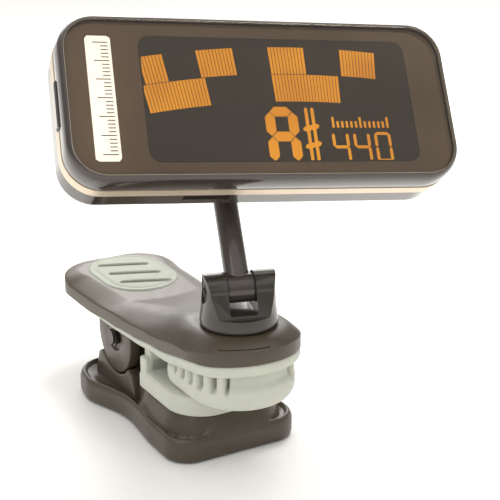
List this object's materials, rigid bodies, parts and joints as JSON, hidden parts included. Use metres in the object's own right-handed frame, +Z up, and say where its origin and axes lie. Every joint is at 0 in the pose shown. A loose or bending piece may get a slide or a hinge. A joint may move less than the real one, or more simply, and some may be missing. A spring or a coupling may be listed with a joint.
{
  "type": "clip-on tuner",
  "caption": "Clip-on instrument tuner: a sprung, rubber-lined clamp with a swivelling, tilting arm that carries a wide display head on a ball joint.",
  "frame": {"origin": "centre of the lower jaw's flat underside, on the surface it rests on", "axes": "+Z up, away from the resting surface; -Y towards the clamp's nose and +Y towards its finger tails; +X along the pivot pin, towards the side that the display's right end lies on"},
  "size_m": [0.0738, 0.0689, 0.0789],
  "materials": {
    "lever_plastic": "satin",
    "soft_rubber": "matte",
    "case_gloss": "gloss",
    "trim_satin": "satin",
    "lens_tint": "gloss",
    "arm_gloss": "gloss",
    "steel_bright": "polished",
    "steel_dark": "satin",
    "nylon": "matte",
    "lcd_glass": "gloss",
    "light_guide": "matte",
    "strip_white": "matte",
    "board_green": "satin",
    "chip_black": "matte",
    "brass_disc": "satin",
    "cell_steel": "satin"
  },
  "bodies": {
    "lower_jaw": {"lower_jaw": "lever_plastic", "lower_jaw_lining": "soft_rubber", "pivot_pin": "steel_dark", "pin_clip": "steel_dark", "torsion_spring": "steel_dark"},
    "upper_jaw": {"upper_jaw": "lever_plastic", "upper_jaw_rim": "soft_rubber", "thumb_pad": "soft_rubber", "grip_pad": "soft_rubber", "upper_throat_lining": "soft_rubber"},
    "turret": {"turret_yoke": "lever_plastic", "hinge_screw": "steel_dark", "hinge_nut": "steel_dark", "hinge_washers": "nylon", "swivel_screw": "steel_dark", "swivel_washer": "steel_dark"},
    "arm": {"swivel_arm": "arm_gloss"},
    "ball": {"ball_stud": "steel_bright"},
    "cup": {"friction_cup": "nylon"},
    "head": {"front_bezel": "case_gloss", "lens_window": "lens_tint", "trim_band": "trim_satin", "rear_shell": "case_gloss", "socket_cap": "case_gloss", "socket_screws": "steel_dark", "case_screws": "steel_dark", "door_seal": "soft_rubber", "coin_cell": "cell_steel", "battery_contact": "steel_bright", "lcd_panel": "lcd_glass", "backlight_panel": "light_guide", "lens_mask": "strip_white", "main_board": "board_green", "board_chips": "chip_black", "vibration_sensor": "brass_disc", "usb_socket": "steel_bright", "side_switch": "chip_black"},
    "side_button": {"side_button": "case_gloss"},
    "battery_door": {"battery_door": "case_gloss"}
  },
  "joints": [
    {"name": "jaw_open", "type": "hinge", "parent": "lower_jaw", "child": "upper_jaw", "pos_m": [0, 0.0105, 0.014], "axis": [-1, 0, 0], "range_deg": [0, 25], "stiffness_Nm_per_rad": 0.35, "springref_deg": -25.78, "deforming": ["torsion_spring"]},
    {"name": "turret_swivel", "type": "hinge", "parent": "upper_jaw", "child": "turret", "pos_m": [0, -0.02, 0.0255], "axis": [0, 0, 1], "continuous": true},
    {"name": "arm_tilt", "type": "hinge", "parent": "turret", "child": "arm", "pos_m": [0, -0.02, 0.0319], "axis": [-0.9588, 0.284, 0], "range_deg": [-35, 20]},
    {"name": "head_pan", "type": "hinge", "parent": "arm", "child": "ball", "pos_m": [0.00566, -0.00089, 0.05565], "axis": [0.1826, 0.6163, 0.766], "range_deg": [-35, 30]},
    {"name": "head_roll", "type": "hinge", "parent": "ball", "child": "cup", "pos_m": [0.00566, -0.00089, 0.05565], "axis": [0.1076, 0.7619, -0.6387], "range_deg": [-6, 6]},
    {"name": "head_tilt", "type": "hinge", "parent": "cup", "child": "head", "pos_m": [0.00566, -0.00089, 0.05565], "axis": [-0.9757, 0.2044, 0.0794], "range_deg": [-1, 58]},
    {"name": "side_button_press", "type": "slide", "parent": "head", "child": "side_button", "axis": [0.9757, -0.2044, -0.0794], "range_m": [0, 0.0005], "stiffness_N_per_m": 600},
    {"name": "battery_door_turn", "type": "hinge", "parent": "head", "child": "battery_door", "pos_m": [0.02708, -0.00942, 0.05488], "axis": [0.1191, 0.798, -0.5907], "range_deg": [0, 60]}
  ]
}
